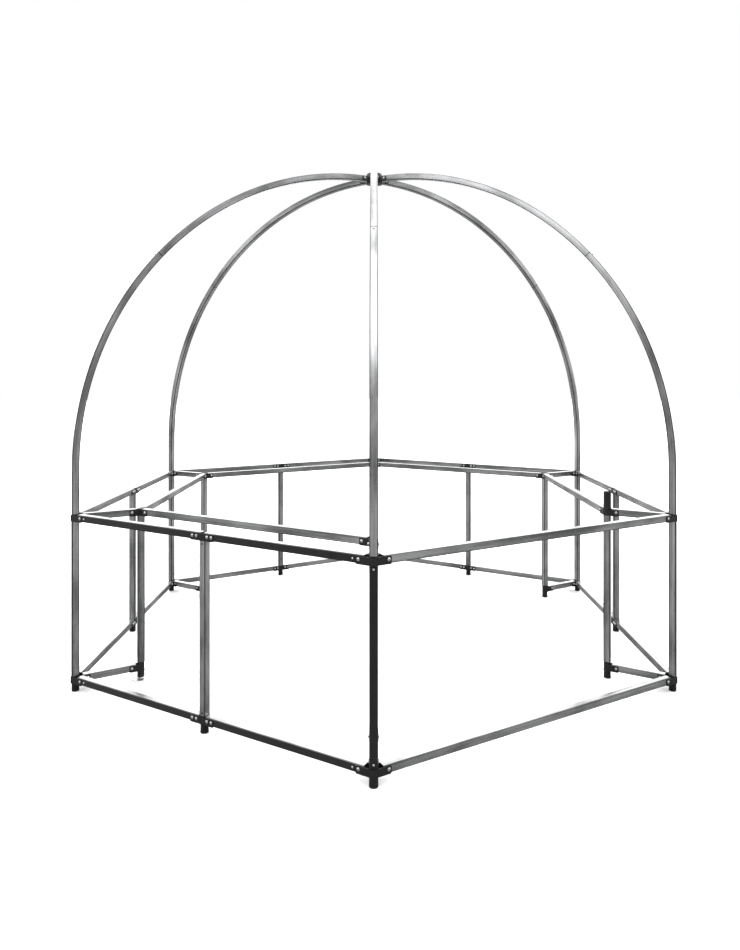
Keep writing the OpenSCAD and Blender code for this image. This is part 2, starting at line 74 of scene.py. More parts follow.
floor_paint.node_tree.links.new(floor_ray.outputs["Is Camera Ray"], floor_tone.inputs["Factor"])
floor_paint.node_tree.links.new(floor_tone.outputs["Result"], paint.inputs["Base Color"])
paint.inputs["Roughness"].default_value = 0.9
paint.inputs["Specular IOR Level"].default_value = 0.1
floor_mesh.materials.append(floor_paint)

sky = bpy.data.worlds.new("studio_sky")
scene.world = sky
sky.use_nodes = True
sky_nodes, sky_links = sky.node_tree.nodes, sky.node_tree.links
sky_nodes.clear()
sky_way = sky_nodes.new("ShaderNodeTexCoord")
sky_split = sky_nodes.new("ShaderNodeSeparateXYZ")
sky_tilt = sky_nodes.new("ShaderNodeMath")
sky_tilt.operation = "MULTIPLY_ADD"
sky_tilt.inputs[1].default_value = 0.6
sky_ramp = sky_nodes.new("ShaderNodeValToRGB")
sky_ramp.color_ramp.elements[0].position = 0.02
sky_ramp.color_ramp.elements[0].color = (0.14, 0.14, 0.142, 1.0)
sky_ramp.color_ramp.elements[1].position = 0.20
sky_ramp.color_ramp.elements[1].color = (1.0, 1.0, 1.0, 1.0)
haze = sky_ramp.color_ramp.elements.new(0.10)
haze.color = (0.28, 0.28, 0.285, 1.0)
sky_ray = sky_nodes.new("ShaderNodeLightPath")
sky_light = sky_nodes.new("ShaderNodeBackground")
sky_light.inputs["Strength"].default_value = 2.8
sky_seen = sky_nodes.new("ShaderNodeBackground")
sky_seen.inputs["Color"].default_value = (1.0, 1.0, 1.0, 1.0)
sky_mix = sky_nodes.new("ShaderNodeMixShader")
sky_out = sky_nodes.new("ShaderNodeOutputWorld")
sky_links.new(sky_way.outputs["Generated"], sky_split.inputs[0])
sky_links.new(sky_split.outputs["Y"], sky_tilt.inputs[0])
sky_links.new(sky_split.outputs["Z"], sky_tilt.inputs[2])
sky_links.new(sky_tilt.outputs[0], sky_ramp.inputs["Fac"])
sky_links.new(sky_ramp.outputs["Color"], sky_light.inputs["Color"])
sky_links.new(sky_ray.outputs["Is Camera Ray"], sky_mix.inputs[0])
sky_links.new(sky_light.outputs[0], sky_mix.inputs[1])
sky_links.new(sky_seen.outputs[0], sky_mix.inputs[2])
sky_links.new(sky_mix.outputs[0], sky_out.inputs["Surface"])

front_lamp = bpy.data.objects.new("front_lamp", bpy.data.lights.new("front_lamp", "AREA"))
scene.collection.objects.link(front_lamp)
front_lamp.data.shape = "DISK"
front_lamp.data.size = 4.0
front_lamp.data.energy = 90.0
front_lamp.location = (-5.0, -7.0, 6.0)
lamp_aim = Vector((0.0, 0.0, 1.2)) - front_lamp.location
front_lamp.rotation_euler = lamp_aim.to_track_quat("-Z", "Y").to_euler()

# Square tubes. Mill-finish extruded aluminium, 40 mm square with rounded corners, sawn to
# length. The die leaves fine lines along each tube, and handling leaves grey patches. The
# pattern's first axis follows the tube: up a post, along a rail, or round the bend of an arch.
RING_R, INNER_R = 2.0, 1.63
BASE_Z, COUNTER_Z = 0.070, 1.005
ARCH_CENTRE_R, ARCH_CENTRE_Z, ARCH_BEND = 0.055, 1.285, 1.945
SEAM_DEG, SEAM_HALF_RAD = 41.3, 0.0011
# The painted shade on the rounded tube corners ramps in between these two distances from the
# centre line.
CORNER_SHADE_FROM, CORNER_SHADE_TO = 0.0140, 0.0185
INNER_SHIFT, UPPER_SHIFT = 9.3, 5.7


class Pattern:
    """Shader nodes for one material, with short ways to add and join them."""

    def __init__(self, name):
        self.material = bpy.data.materials.new(name)
        self.material.use_nodes = True
        self.tree = self.material.node_tree
        self.shader = self.tree.nodes["Principled BSDF"]
        self.place = self.tree.nodes.new("ShaderNodeTexCoord").outputs["Object"]

    def join(self, value, socket):
        if hasattr(value, "links"):
            self.tree.links.new(value, socket)
        else:
            socket.default_value = value

    def math(self, operation, a, b=0.0):
        node = self.tree.nodes.new("ShaderNodeMath")
        node.operation = operation
        self.join(a, node.inputs[0])
        self.join(b, node.inputs[1])
        return node.outputs[0]

    def axes(self):
        node = self.tree.nodes.new("ShaderNodeSeparateXYZ")
        self.join(self.place, node.inputs[0])
        return node.outputs

    def vector(self, x, y, z):
        node = self.tree.nodes.new("ShaderNodeCombineXYZ")
        for value, socket in zip((x, y, z), node.inputs):
            self.join(value, socket)
        return node.outputs[0]

    def stretched(self, vector, scale):
        node = self.tree.nodes.new("ShaderNodeMapping")
        self.join(vector, node.inputs["Vector"])
        node.inputs["Scale"].default_value = scale
        return node.outputs[0]

    def noise(self, vector, scale, detail, roughness=0.55):
        node = self.tree.nodes.new("ShaderNodeTexNoise")
        self.join(vector, node.inputs["Vector"])
        node.inputs["Scale"].default_value = scale
        node.inputs["Detail"].default_value = detail
        node.inputs["Roughness"].default_value = roughness
        return node.outputs["Fac"]

    def cells(self, vector, scale):
        node = self.tree.nodes.new("ShaderNodeTexVoronoi")
        self.join(vector, node.inputs["Vector"])
        node.inputs["Scale"].default_value = scale
        return node.outputs["Distance"]

    def ramp(self, value, *stops):
        """Colours at positions: each stop is (position, grey) or (position, (r, g, b))."""
        node = self.tree.nodes.new("ShaderNodeValToRGB")
        self.join(value, node.inputs["Fac"])
        elements = node.color_ramp.elements
        while len(elements) < len(stops):
            elements.new(0.5)
        for element, (position, tone) in zip(elements, stops):
            element.position = position
            tone = tone if isinstance(tone, tuple) else (tone, tone, tone)
            element.color = (*tone, 1.0)
        return node.outputs["Color"]

    def blend(self, share, a, b, way="MIX"):
        node = self.tree.nodes.new("ShaderNodeMix")
        node.data_type = "RGBA"
        node.blend_type = way
        self.join(share, node.inputs["Factor"])
        self.join(a, node.inputs["A"])
        self.join(b, node.inputs["B"])
        return node.outputs["Result"]

    def spread(self, value, low, high, start=0.3, end=0.7):
        """The value, taken from the range start to end to the range low to high."""
        node = self.tree.nodes.new("ShaderNodeMapRange")
        self.join(value, node.inputs["Value"])
        node.inputs["From Min"].default_value = start
        node.inputs["From Max"].default_value = end
        node.inputs["To Min"].default_value = low
        node.inputs["To Max"].default_value = high
        return node.outputs["Result"]

    def bump(self, height, strength, distance, under=None):
        node = self.tree.nodes.new("ShaderNodeBump")
        node.inputs["Strength"].default_value = strength
        node.inputs["Distance"].default_value = distance
        self.join(height, node.inputs["Height"])
        if under is not None:
            self.join(under, node.inputs["Normal"])
        return node.outputs["Normal"]

    def finish(self, color, roughness, normal, **constants):
        for value, name in ((color, "Base Color"), (roughness, "Roughness"), (normal, "Normal")):
            self.join(value, self.shader.inputs[name])
        for name, value in constants.items():
            self.shader.inputs[name.replace("_", " ")].default_value = value
        return self.material


def turned_axes(pattern, first_deg):
    """For the nearest of the six directions that start at first_deg: the distance out from
    the stall's middle along it, the distance aside from it, the height and its number."""
    x, y, z = pattern.axes()
    turn = pattern.math("SUBTRACT", pattern.math("ARCTAN2", y, x), radians(first_deg))
    sixth = pattern.math("DIVIDE", turn, pi / 3)
    near = pattern.math("FLOOR", pattern.math("ADD", sixth, 0.5))
    heading = pattern.math("ADD", pattern.math("MULTIPLY", near, pi / 3), radians(first_deg))
    c, s = pattern.math("COSINE", heading), pattern.math("SINE", heading)
    out = pattern.math("ADD", pattern.math("MULTIPLY", x, c), pattern.math("MULTIPLY", y, s))
    aside = pattern.math("SUBTRACT", pattern.math("MULTIPLY", y, c),
                         pattern.math("MULTIPLY", x, s))
    return out, aside, z, near


def tube_metal(course):
    """course: corner_posts, mid_posts, sides, radii or arches. A place across the tube is
    told by two distances from its centre line, so that the rounded corners can be darkened with
    painted shade, which stands in for the shaded ground that they reflect. The shifts give each
    tube a stretch of the pattern to itself."""
    p = Pattern("aluminium_" + course)
    to_side = course in ("mid_posts", "sides")
    out, aside, z, near = turned_axes(p, 0.0 if to_side else 30.0)
    share = cos(pi / 6) if to_side else 1.0
    gap = (RING_R - INNER_R) * share
    inner = p.math("LESS_THAN", out, RING_R * share - gap / 2)
    off_row = p.math("SUBTRACT", p.math("ADD", out, p.math("MULTIPLY", inner, gap)),
                     RING_R * share)
    upper = p.math("GREATER_THAN", z, (BASE_Z + COUNTER_Z) / 2)
    off_level = p.math("SUBTRACT", p.math("SUBTRACT", z, BASE_Z),
                       p.math("MULTIPLY", upper, COUNTER_Z - BASE_Z))
    if course == "sides":
        length, across, up = aside, off_row, off_level
        shift = p.math("ADD", p.math("MULTIPLY", inner, INNER_SHIFT),
                       p.math("MULTIPLY", upper, UPPER_SHIFT))
    elif course == "radii":
        length, across, up = out, aside, off_level
        shift = p.math("MULTIPLY", upper, UPPER_SHIFT)
    elif course == "arches":
        rise = p.math("MAXIMUM", p.math("SUBTRACT", z, ARCH_CENTRE_Z), 0.0)
        drop = p.math("MINIMUM", p.math("SUBTRACT", z, ARCH_CENTRE_Z), 0.0)
        level = p.math("SUBTRACT", out, ARCH_CENTRE_R)
        angle = p.math("ARCTAN2", rise, level)
        far = p.math("SQRT", p.math("ADD", p.math("MULTIPLY", rise, rise),
                                    p.math("MULTIPLY", level, level)))
        length = p.math("ADD", p.math("MULTIPLY", angle, ARCH_BEND), drop)
        across, up, shift = aside, p.math("SUBTRACT", far, ARCH_BEND), 0.0
    else:
        length, across, up = z, off_row, aside
        shift = p.math("MULTIPLY", inner, INNER_SHIFT)
    run = p.vector(p.math("ADD", p.math("ADD", length, near), shift), across, up)
    corner = p.math("MINIMUM", p.math("ABSOLUTE", across), p.math("ABSOLUTE", up))
    streaks = p.noise(p.stretched(run, (0.9, 60.0, 60.0)), 1.0, 4.0, 0.6)
    lines = p.noise(p.stretched(run, (2.5, 700.0, 700.0)), 1.0, 2.0, 0.5)
    patches = p.noise(p.stretched(run, (2.2, 9.0, 9.0)), 1.0, 4.0, 0.6)
    specks = p.noise(p.stretched(run, (60.0, 140.0, 140.0)), 1.0, 3.0, 0.7)
    tone = p.ramp(streaks, (0.30, (0.36, 0.365, 0.37)), (0.52, (0.55, 0.555, 0.56)),
                  (0.70, (0.70, 0.705, 0.71)))
    tone = p.blend(0.8, tone, p.ramp(patches, (0.38, 0.40), (0.60, 1.0)), "MULTIPLY")
    # Painted shade: the rounded corners of each tube are darkened, in place of the shaded ground
    # that they reflect.
    tone = p.blend(1.0, tone, p.ramp(p.spread(corner, 0.0, 1.0, CORNER_SHADE_FROM, CORNER_SHADE_TO),
                                     (0.0, 1.0), (0.5, 0.22)), "MULTIPLY")
    tone = p.blend(0.35, tone, p.ramp(specks, (0.30, 0.55), (0.45, 1.0)), "MULTIPLY")
    if course == "arches":
        off = p.math("ABSOLUTE", p.math("SUBTRACT", angle, radians(SEAM_DEG)))
        tone = p.blend(p.math("LESS_THAN", off, SEAM_HALF_RAD), tone, (0.02, 0.02, 0.02, 1.0))
    dull = p.math("ADD", p.spread(patches, 0.18, 0.32), p.spread(lines, 0.0, 0.08))
    relief = p.bump(lines, 0.25, 0.0002)
    relief = p.bump(patches, 0.15, 0.0015, relief)
    return p.finish(tone, dull, relief, Metallic=1.0)


def coat(node, material):
    for holder in nodes_of[node].material_slots:
        holder.material = material


MEMBERS = {
    "corner_posts": ["corner_post_%d" % k for k in range(6)] + ["inner_posts"],
    "mid_posts": ["mid_posts"],
    "sides": ["counter_rail_%d" % k for k in range(1, 6)] + [
        "entrance_rail", "entrance_base_rail", "base_rails", "inner_rails", "rail_inserts"],
    "radii": ["counter_radials", "base_radials"],
    "arches": ["arch_%s_%d" % (half, k) for half in ("lower", "upper") for k in range(6)] + [
        "arch_spigots"],
}
for course, members in MEMBERS.items():
    tube_coat = tube_metal(course)
    for member in members:
        coat(member, tube_coat)


# Brackets and foot sleeves. Steel plate 3 mm thick, folded and welded to a round sleeve, then
# powder coated satin black. The coat has a faint orange peel and is rubbed grey in places.
def powder_coat():
    p = Pattern("black_powder_coat")
    peel = p.noise(p.place, 900.0, 2.0)
    blotch = p.noise(p.place, 22.0, 5.0, 0.65)
    scuffs = p.noise(p.stretched(p.place, (40.0, 40.0, 260.0)), 1.0, 5.0, 0.7)
    tone = p.ramp(blotch, (0.30, 0.007), (0.70, 0.0133))
    worn = p.ramp(scuffs, (0.62, 0.0), (0.70, 1.0))
    tone = p.blend(worn, tone, (0.050, 0.050, 0.051, 1.0))
    dull = p.spread(blotch, 0.36, 0.55)
    relief = p.bump(peel, 0.25, 0.0002)
    return p.finish(tone, dull, relief, Metallic=0.0, Specular_IOR_Level=0.35)


bracket_coat = powder_coat()
for node in ("corner_brackets", "corner_feet", "mid_brackets", "mid_feet", "inner_brackets",
             "inner_feet"):
    coat(node, bracket_coat)

# Sizes and places that the fittings share, all in metres. At a corner, +X points away from
# the middle of the stall. On a side, +Y runs along it and +X points outwards.
HALF_TUBE = 0.020
STRIP_T = 0.0012
PLATE_T = 0.003
PLATE_IN = HALF_TUBE + 0.0005
PLATE_OUT = PLATE_IN + PLATE_T
CORNER_BOLT, INNER_BOLT = 0.066, 0.057
MID_BOLTS = (-0.064, -0.036, 0.036, 0.064)
CREASE = radians(32)
HUB_R, APEX_Z = 0.055, 3.230
HUB_BOLT_X = HUB_R + 0.035
CORNERS, CLOSED_SIDES = range(6), range(1, 6)


def turned(deg):
    return Matrix.Rotation(radians(deg), 4, "Z")


def moved(x=0.0, y=0.0, z=0.0):
    return Matrix.Translation((x, y, z))


def at_corner(k, radius=RING_R):
    return turned(60 * k - 90) @ moved(radius)


def at_side(k):
    return turned(60 * k - 60) @ moved(RING_R * cos(pi / 6))


FACING_OUT = Matrix.Rotation(radians(90), 4, "Y")
FACING_ASIDE = Matrix.Rotation(radians(90), 4, "X")


def lathed(profile, steps):
    """A solid of revolution round z. The profile's points are (radius, height) pairs that
    start and end on z, or that close on themselves."""
    shape = bmesh.new()
    points = [shape.verts.new((r, 0.0, z)) for r, z in profile]
    edges = [shape.edges.new(pair) for pair in zip(points, points[1:])]
    bmesh.ops.spin(shape, geom=points + edges, axis=(0, 0, 1), cent=(0, 0, 0),
                   angle=2 * pi, steps=steps, use_merge=True)
    bmesh.ops.remove_doubles(shape, verts=shape.verts, dist=1e-6)
    bmesh.ops.recalc_face_normals(shape, faces=shape.faces)
    return shape


def copies(shape, places):
    """One mesh that holds the shape at each of the places."""
    pattern = bpy.data.meshes.new("pattern")
    shape.to_mesh(pattern)
    shape.free()
    whole = bmesh.new()
    for place in places:
        before = len(whole.verts)
        whole.from_mesh(pattern)
        whole.verts.ensure_lookup_table()
        bmesh.ops.transform(whole, matrix=place, verts=whole.verts[before:])
    bpy.data.meshes.remove(pattern)
    return whole


def joined(whole, shape, place=Matrix.Identity(4)):
    """Adds the shape, at the place, to the whole."""
    part = bpy.data.meshes.new("part")
    shape.to_mesh(part)
    shape.free()
    part.transform(place)
    whole.from_mesh(part)
    bpy.data.meshes.remove(part)


def fitted(name, shape, material, slot, *replaced, body="frame"):
    """Makes the piece from the shape, smooth but for edges sharper than CREASE."""
    for face in shape.faces:
        face.smooth = True
    for edge in shape.edges:
        edge.smooth = len(edge.link_faces) == 2 and edge.calc_face_angle(0.0) < CREASE
    mesh = bpy.data.meshes.new(name)
    shape.to_mesh(mesh)
    shape.free()
    mesh.materials.append(material)
    piece = bpy.data.objects.new(name, mesh)
    scene.collection.objects.link(piece)
    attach(piece, body)
    if replaced:
        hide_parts(*replaced)


# Weld beads on the foot sleeves. A bead of weld runs round each sleeve under the shelf plate,
# slightly rippled, under the same black coat.
BEAD_R, BEAD_RIPPLES, BEAD_RIPPLE = 0.0028, 21, 0.010
FOOT_BEAD_R, FOOT_BEAD_Z = 0.0212, BASE_Z - 0.0232


def bead(radius, height):
    ring = bmesh.new()
    bmesh.ops.create_circle(ring, segments=8, radius=BEAD_R,
                            matrix=moved(radius, 0, height) @ FACING_ASIDE)
    bmesh.ops.spin(ring, geom=ring.verts[:] + ring.edges[:], axis=(0, 0, 1), cent=(0, 0, 0),
                   angle=2 * pi, steps=64, use_merge=True)
    for vert in ring.verts:
        turn = atan2(vert.co.y, vert.co.x)
        push = 1.0 + BEAD_RIPPLE * sin(turn * BEAD_RIPPLES)
        vert.co.x *= push
        vert.co.y *= push
    bmesh.ops.remove_doubles(ring, verts=ring.verts, dist=1e-6)
    bmesh.ops.recalc_face_normals(ring, faces=ring.faces)
    return ring


OUTER_SPOTS = [at_corner(k) for k in CORNERS] + [at_side(k) for k in CLOSED_SIDES]
INNER_SPOTS = [at_corner(k, INNER_R) for k in CORNERS]
foot_beads = copies(bead(FOOT_BEAD_R, FOOT_BEAD_Z), OUTER_SPOTS + INNER_SPOTS)
fitted("foot_weld_beads", foot_beads, bracket_coat, "black_steel")

# Bolts. Button-head bolts through the plates and the rail ends, M8, zinc plated, each over a
# thin washer, with a hexagon socket in its low domed head.
def plated(name, tone=0.66, dull=0.26):
    p = Pattern(name)
    grain = p.noise(p.place, 260.0, 3.0)
    stain = p.noise(p.place, 38.0, 4.0)
    color = p.ramp(stain, (0.30, (tone * 0.72, tone * 0.73, tone * 0.75)),
                   (0.65, (tone, tone, tone * 1.01)))
    rough = p.math("ADD", p.spread(stain, dull, dull + 0.16), p.spread(grain, 0.0, 0.06))
    return p.finish(color, rough, p.bump(grain, 0.12, 0.0001), Metallic=1.0)


zinc_plate = plated("zinc_plate")
SOCKET_R, SOCKET_SWELL = 0.0024, 1.08


def button_head():
    """Washer and head on +z above the plate's face at z 0, with the socket sunk in."""
    head = lathed([(0, -0.0005), (0.0085, -0.0005), (0.0085, 0.0007), (0.0082, 0.0010),
                   (0.0070, 0.0010), (0.0070, 0.0018), (0.0066, 0.0025),
                   (0.0058, 0.0032), (0.0046, 0.0037), (0.0032, 0.0039),
                   (SOCKET_R, 0.0039), (SOCKET_R, 0.0016), (0, 0.0012)], 24)
    for vert in head.verts:
        if abs(hypot(vert.co.x, vert.co.y) - SOCKET_R) < 1e-5:
            turn = degrees(atan2(vert.co.y, vert.co.x)) % 60.0 - 30.0
            pull = cos(pi / 6) / cos(radians(turn)) * SOCKET_SWELL
            vert.co.x *= pull
            vert.co.y *= pull
    return head


def bolt_places():
    """A place at the middle of each rail or arch end, with +Y along its cross bolt."""
    spots = []
    for z in (BASE_Z, COUNTER_Z):
        for k in CORNERS:
            post = at_corner(k) @ moved(z=z)
            spots.append(post @ turned(120) @ moved(CORNER_BOLT))
            if (k, z) != (1, COUNTER_Z):
                spots.append(post @ turned(-120) @ moved(CORNER_BOLT) @ turned(180))
            spots.append(post @ turned(180) @ moved(CORNER_BOLT))
            spots.append(post @ turned(180) @ moved(RING_R - INNER_R - INNER_BOLT))
        for k in CLOSED_SIDES:
            for along in MID_BOLTS:
                spots.append(at_side(k) @ moved(0, along, z) @ turned(90))
    for k in CLOSED_SIDES:
        for along in (INNER_BOLT, INNER_R - INNER_BOLT):
            spots.append(at_corner(k, INNER_R) @ moved(z=COUNTER_Z) @ turned(120) @ moved(along))
    spots += [at_corner(k, HUB_BOLT_X) @ moved(z=APEX_Z) for k in CORNERS]
    return spots


BOLT_HEADS = [spot @ moved(0, -PLATE_OUT) @ FACING_ASIDE for spot in bolt_places()]
fitted("rail_bolt_heads", copies(button_head(), BOLT_HEADS), zinc_plate, "fastener",
       "rail_bolts")

# Nuts. Lock nuts on the far ends of the bolts: a hexagon with chamfered corners over a
# washer, a rolled collar that holds the nylon ring, and the end of the thread.
def add_hexagon(shape, radius, depth, middle):
    bmesh.ops.create_cone(shape, cap_ends=True, segments=6, radius1=radius, radius2=radius,
                          depth=depth, matrix=moved(z=middle))


def chamfer_ends(shape, offset):
    """Chamfers the level edges, which leaves the upright ones sharp."""
    bmesh.ops.bevel(shape, geom=[e for e in shape.edges
                                 if abs(e.verts[0].co.z - e.verts[1].co.z) < 1e-6],
                    offset=offset, segments=2, profile=0.5, affect="EDGES", material=-1)


lock_nut = bmesh.new()
add_hexagon(lock_nut, 0.0075, 0.0052, 0.0036)
chamfer_ends(lock_nut, 0.0006)
for lathe in ([(0, -0.0005), (0.0085, -0.0005), (0.0085, 0.0008), (0.0082, 0.0011), (0, 0.0011)],
              [(0, 0.0055), (0.0060, 0.0060), (0.0060, 0.0066), (0.0056, 0.0072),
               (0.0042, 0.0074), (0.0039, 0.0069), (0.0039, 0.0076), (0.0033, 0.0080),
               (0, 0.0080)]):
    joined(lock_nut, lathed(lathe, 18))
NUT_PLACES = [spot @ moved(0, PLATE_OUT) @ FACING_ASIDE @ Matrix.Rotation(pi, 4, "X")
              for spot in bolt_places()]
fitted("rail_lock_nuts", copies(lock_nut, NUT_PLACES), zinc_plate, "fastener", "rail_nuts")

# Drop pin of the lifting rail. A turned pin with a rounded head at each end, which stands
# clear of the fork's plates, and a shank that drops into their open slots.
DROP = 0.0240
pin = lathed([(0, -DROP - 0.0040), (0.0036, -DROP - 0.0040), (0.0058, -DROP - 0.0030),
              (0.0070, -DROP - 0.0012), (0.0070, -DROP), (0.0036, -DROP),
              (0.0036, -DROP + 0.0020), (0.0040, -DROP + 0.0024),
              (0.0040, DROP - 0.0024), (0.0036, DROP - 0.0020), (0.0036, DROP),
              (0.0070, DROP), (0.0070, DROP + 0.0012), (0.0058, DROP + 0.0030),
              (0.0036, DROP + 0.0040), (0, DROP + 0.0040)], 32)
PIN_PLACE = (at_corner(0) @ moved(z=COUNTER_Z) @ turned(120) @ moved(RING_R - CORNER_BOLT)
             @ FACING_ASIDE)
fitted("drop_pin", copies(pin, [PIN_PLACE]), zinc_plate, "fastener", "entrance_pin",
       body="entrance_rail")

# Post screws. Low pan-head screws through the posts into the bracket spigots, each with a
# cross recess. Those of the middle posts are blackened.
RECESS_R = 0.0016


def pan_head():
    head = lathed([(0, -0.003), (0.0050, -0.003), (0.0055, 0.0), (0.0054, 0.0008),
                   (0.0048, 0.0020), (0.0038, 0.0028), (0.0022, 0.0030),
                   (RECESS_R, 0.0012), (0, 0.0008)], 24)
    for vert in head.verts:
        if abs(hypot(vert.co.x, vert.co.y) - RECESS_R) < 1e-5:
            pull = 0.62 + 0.55 * abs(cos(2 * atan2(vert.co.y, vert.co.x)))
            vert.co.x *= pull
            vert.co.y *= pull
    return head


OUTER_SCREWS, INNER_SCREWS = (0.105, 0.967), (0.115, 0.967)
SCREW_PLACES = [at_corner(k) @ moved(HALF_TUBE + STRIP_T, 0, z) @ FACING_OUT
                for k in CORNERS for z in OUTER_SCREWS]
SCREW_PLACES += [at_corner(k, INNER_R) @ moved(HALF_TUBE, 0, z) @ FACING_OUT
                 for k in CORNERS for z in INNER_SCREWS]
fitted("post_screw_heads", copies(pan_head(), SCREW_PLACES), zinc_plate, "fastener",
       "post_screws")
MID_SCREW_PLACES = [at_side(k) @ moved(HALF_TUBE, 0, z) @ FACING_OUT
                    for k in CLOSED_SIDES for z in OUTER_SCREWS]
fitted("mid_post_screw_heads", copies(pan_head(), MID_SCREW_PLACES),
       plated("blackened_steel", 0.10, 0.34), "fastener")

# Rivets. Aluminium blind rivets that hold the stiffening inserts, with a domed flange and
# the snapped stem in a dimple.
RIVET_ALONG = 0.0980


def half_rail_places():
    """A place at the corner end of each half rail, with +X along it and -Y outwards."""
    spots = []
    for k in CLOSED_SIDES:
        for z in (BASE_Z, COUNTER_Z):
            spots.append(at_corner(k) @ moved(z=z) @ turned(120))
            spots.append(at_corner((k + 1) % 6) @ moved(z=z) @ turned(-120)
                         @ Matrix.Scale(-1, 4, (0, 1, 0)))
    return spots


rivet = lathed([(0, -0.0030), (0.0024, -0.0030), (0.0024, 0.0), (0.0050, 0.0),
                (0.0050, 0.0005), (0.0044, 0.0014), (0.0032, 0.0021), (0.0018, 0.0024),
                (0.0013, 0.0024), (0.0011, 0.0015), (0, 0.0016)], 24)
rivets = copies(rivet, [spot @ moved(RIVET_ALONG, -HALF_TUBE - STRIP_T) @ FACING_ASIDE
                        for spot in half_rail_places()])
bmesh.ops.recalc_face_normals(rivets, faces=rivets.faces)
fitted("insert_rivet_heads", rivets, plated("rivet_aluminium", 0.74, 0.30), "rivet",
       "insert_rivets")


# Hook-and-loop strips. Black woven tape 34 mm wide stuck along the outward faces of the corner
# posts and the half rails: a raised band of hooks between two flat selvedges.
STRIP_W, SELVEDGE, BAND_RISE = 0.034, 0.0030, STRIP_T / 4
POST_LOW, POST_HIGH = BASE_Z + HALF_TUBE, 0.982
STRIP_START, STRIP_STOP = 0.082, RING_R / 2 - 0.080
TAPE_STEP = 0.05


def hook_tape():
    p = Pattern("hook_tape")
    hooks = p.cells(p.place, 620.0)
    pile = p.noise(p.place, 240.0, 4.0, 0.7)
    fade = p.noise(p.place, 7.0, 4.0, 0.6)
    tone = p.ramp(hooks, (0.10, 0.020), (0.65, 0.006))
    tone = p.blend(0.6, tone, p.ramp(fade, (0.30, 0.55), (0.70, 1.35)), "MULTIPLY")
    relief = p.bump(hooks, 0.5, 0.0006)
    relief = p.bump(pile, 0.3, 0.0004, relief)
    return p.finish(tone, p.spread(pile, 0.72, 0.92), relief, Metallic=0.0,
                    Sheen_Weight=0.15, Sheen_Roughness=0.5, Specular_IOR_Level=0.25)


def tape(length):
    """A tape on the plane z 0 from x 0 to length, centred on y."""
    strip = bmesh.new()
    bmesh.ops.create_grid(strip, x_segments=round(length / TAPE_STEP), y_segments=8, size=0.5,
                          matrix=moved(length / 2) @ Matrix.Diagonal((length, STRIP_W, 1, 1)))
    bmesh.ops.solidify(strip, geom=strip.faces[:], thickness=BAND_RISE - STRIP_T)
    top = max(v.co.z for v in strip.verts)
    band = [v for v in strip.verts
            if v.co.z > top - 1e-6 and abs(v.co.y) < STRIP_W / 2 - SELVEDGE]
    bmesh.ops.translate(strip, verts=band, vec=(0, 0, BAND_RISE))
    bmesh.ops.translate(strip, verts=strip.verts[:], vec=(0, 0, STRIP_T - BAND_RISE - top))
    bmesh.ops.recalc_face_normals(strip, faces=strip.faces)
    return strip


strip_tape = hook_tape()
UP_THE_POST = Matrix(((0, 0, 1, 0), (0, -1, 0, 0), (1, 0, 0, 0), (0, 0, 0, 1)))
post_tapes = copies(tape(POST_HIGH - POST_LOW),
                    [at_corner(k) @ moved(HALF_TUBE, 0, POST_LOW) @ UP_THE_POST
                     for k in CORNERS])
fitted("post_tapes", post_tapes, strip_tape, "hook_strip", "post_strips")

rail_tapes = copies(tape(STRIP_STOP - STRIP_START),
                    [spot @ moved(STRIP_START, -HALF_TUBE) @ FACING_ASIDE
                     for spot in half_rail_places()])
bmesh.ops.recalc_face_normals(rail_tapes, faces=rail_tapes.faces)
fitted("rail_tapes", rail_tapes, strip_tape, "hook_strip", "rail_strips")


# Foot caps. Black moulded glides on the foot sleeves, with a rounded rim, a groove round the
# side and a shallow hollow under the foot. Floor dust clings low on them.
def moulded_plastic():
    p = Pattern("moulded_black")
    skin = p.noise(p.place, 520.0, 3.0)
    cloud = p.noise(p.place, 30.0, 4.0)
    height = p.axes()[2]
    dust = p.math("MULTIPLY", p.math("SUBTRACT", 1.0, p.math("MULTIPLY", height, 90.0)), cloud)
    tone = p.ramp(cloud, (0.30, 0.010), (0.70, 0.020))
    tone = p.blend(p.math("MAXIMUM", p.math("MULTIPLY", dust, 0.35), 0.0), tone,
                   (0.16, 0.155, 0.15, 1.0))
    return p.finish(tone, p.spread(cloud, 0.50, 0.68), p.bump(skin, 0.3, 0.0002),
                    Metallic=0.0)


glide = lathed([(0, 0.0008), (0.0120, 0.0008), (0.0128, 0.0), (0.0180, 0.0),
                (0.0204, 0.0006), (0.0214, 0.0022), (0.0214, 0.0032),
                (0.0208, 0.0034), (0.0208, 0.0040), (0.0214, 0.0042),
                (0.0214, 0.0056), (0.0208, 0.0060), (0, 0.0060)], 48)
fitted("foot_glides", copies(glide, OUTER_SPOTS + INNER_SPOTS[:5]), moulded_plastic(),
       "foot_plastic", "foot_caps")

# Base plate. A round plate of bright aluminium under the left inner post, turned on a lathe,
# with a rounded rim, a fine groove, a weld round the sleeve and three fixing screws.
DISC_R, DISC_T, DISC_SCREW_R = 0.063, 0.004, 0.0420
DISC_PLACE = INNER_SPOTS[5]


def turned_aluminium():
    p = Pattern("turned_aluminium")
    x, y, z = p.axes()
    off_x = p.math("SUBTRACT", x, DISC_PLACE.translation.x)
    off_y = p.math("SUBTRACT", y, DISC_PLACE.translation.y)
    radius = p.math("SQRT", p.math("ADD", p.math("MULTIPLY", off_x, off_x),
                                   p.math("MULTIPLY", off_y, off_y)))
    cuts = p.noise(p.vector(p.math("MULTIPLY", radius, 1400.0), 0.0, z), 1.0, 2.0)
    smear = p.noise(p.place, 45.0, 4.0)
    return p.finish(p.ramp(smear, (0.3, 0.55), (0.7, 0.74)), p.spread(cuts, 0.22, 0.36),
                    p.bump(cuts, 0.2, 0.0001), Metallic=1.0)


